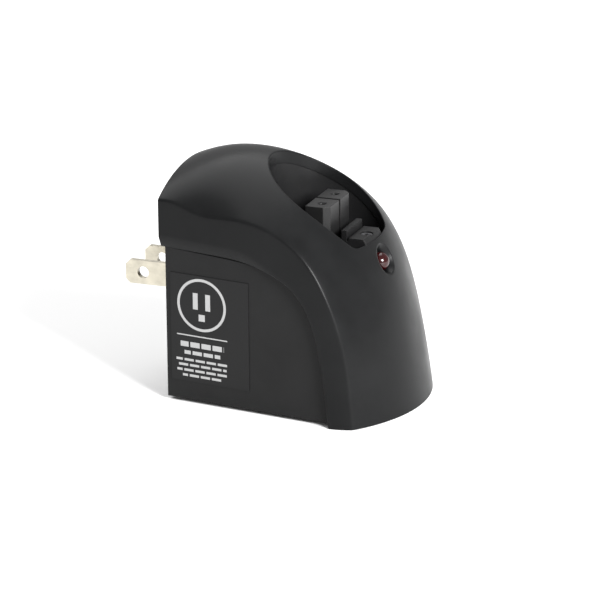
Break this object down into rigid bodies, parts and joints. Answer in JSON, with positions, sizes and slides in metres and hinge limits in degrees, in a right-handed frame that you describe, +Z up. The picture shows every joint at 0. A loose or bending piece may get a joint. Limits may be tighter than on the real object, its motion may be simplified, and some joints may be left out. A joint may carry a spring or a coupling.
{
  "type": "wall plug charging dock",
  "caption": "Wall-plug charging dock: domed black hood with a slanted round well, twin contact towers and a status light, over a flat-sided casing with two flat plug blades.",
  "frame": {"origin": "on the wall face of the rear casing, midway between the two blades; the dock stands on z = -28.9 mm", "axes": "+Z up, +Y out of the wall face along the plug blades, +X to the right seen from the wall; the rounded front faces -Y"},
  "size_m": [0.0546, 0.08, 0.0632],
  "materials": {
    "black_hood": "fine satin texture",
    "black_casing": "fine satin texture",
    "black_well": "fine satin texture",
    "black_towers": "smooth satin",
    "sleeve_brass": "drawn",
    "screw_steel": "turned",
    "blade_nickel": "nickel plated brass",
    "carrier_plastic": "moulded",
    "core_steel": "varnished laminations",
    "bobbin_plastic": "moulded",
    "winding_enamel": "enamelled copper under tape",
    "pad_rubber": "foam rubber",
    "board_laminate": "solder resist",
    "post_plastic": "moulded",
    "can_sleeve": "shrink sleeve",
    "diode_black": "moulded epoxy",
    "resistor_tan": "lacquered",
    "chip_black": "moulded epoxy",
    "lamp_red": "tinted clear epoxy",
    "holder_plastic": "moulded",
    "lead_steel": "tinned",
    "wire_red": "insulation",
    "wire_black": "insulation",
    "wire_yellow": "insulation",
    "fuse_white": "ceramic",
    "label_film": "printed film"
  },
  "bodies": {
    "root": {"blade_carrier": "carrier_plastic", "blade_left": "blade_nickel", "blade_right": "blade_nickel", "board_post_1": "post_plastic", "board_post_2": "post_plastic", "board_post_3": "post_plastic", "case_screw_left": "screw_steel", "case_screw_right": "screw_steel", "charge_controller": "chip_black", "charging_well": "black_well", "contact_sleeve_left": "sleeve_brass", "contact_sleeve_right": "sleeve_brass", "contact_towers": "black_towers", "contact_wire_left": "wire_red", "contact_wire_right": "wire_black", "hood_shell": "black_hood", "light_holder": "holder_plastic", "light_lead_left": "lead_steel", "light_lead_right": "lead_steel", "light_resistor": "resistor_tan", "main_board": "board_laminate", "mains_wire_left": "wire_red", "mains_wire_right": "wire_black", "output_wire_left": "wire_yellow", "output_wire_right": "wire_yellow", "rear_casing": "black_casing", "rear_screw": "screw_steel", "rectifier_diode_1": "diode_black", "rectifier_diode_2": "diode_black", "rectifier_diode_3": "diode_black", "rectifier_diode_4": "diode_black", "side_label": "label_film", "smoothing_capacitor": "can_sleeve", "status_light": "lamp_red", "thermal_fuse": "fuse_white", "transformer_bobbin": "bobbin_plastic", "transformer_bracket": "core_steel", "transformer_core": "core_steel", "transformer_pad": "pad_rubber", "well_screw": "screw_steel", "winding_primary": "winding_enamel", "winding_secondary": "winding_enamel"}
  },
  "joints": []
}
